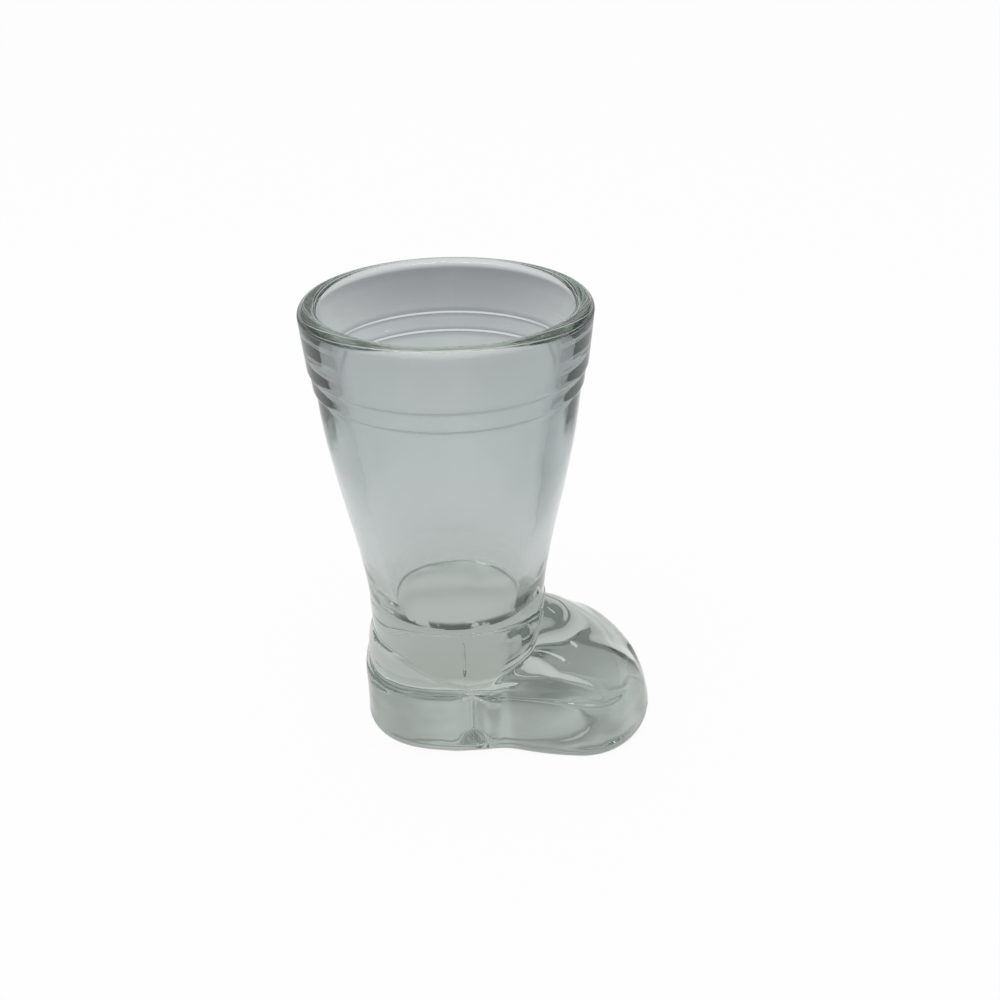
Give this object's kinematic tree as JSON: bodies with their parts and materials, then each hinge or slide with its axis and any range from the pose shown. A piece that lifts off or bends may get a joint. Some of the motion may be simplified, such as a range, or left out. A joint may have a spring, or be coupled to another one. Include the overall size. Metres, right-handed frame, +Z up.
{
  "type": "boot shot glass",
  "caption": "Small boot-shaped drinking glass pressed from clear glass, with a round hollow leg, a ringed cuff and a solid foot that it stands on.",
  "frame": {"origin": "on the leg's axis, at the flat face under the foot that the glass stands on", "axes": "+Z up along the leg's axis, +X towards the toe, and the foot is mirror-symmetric in Y"},
  "size_m": [0.0626, 0.0488, 0.0854],
  "materials": {
    "clear_glass": "clear pressed glass with a faint grey-green tint"
  },
  "bodies": {
    "root": {"boot_glass": "clear_glass"}
  },
  "joints": []
}
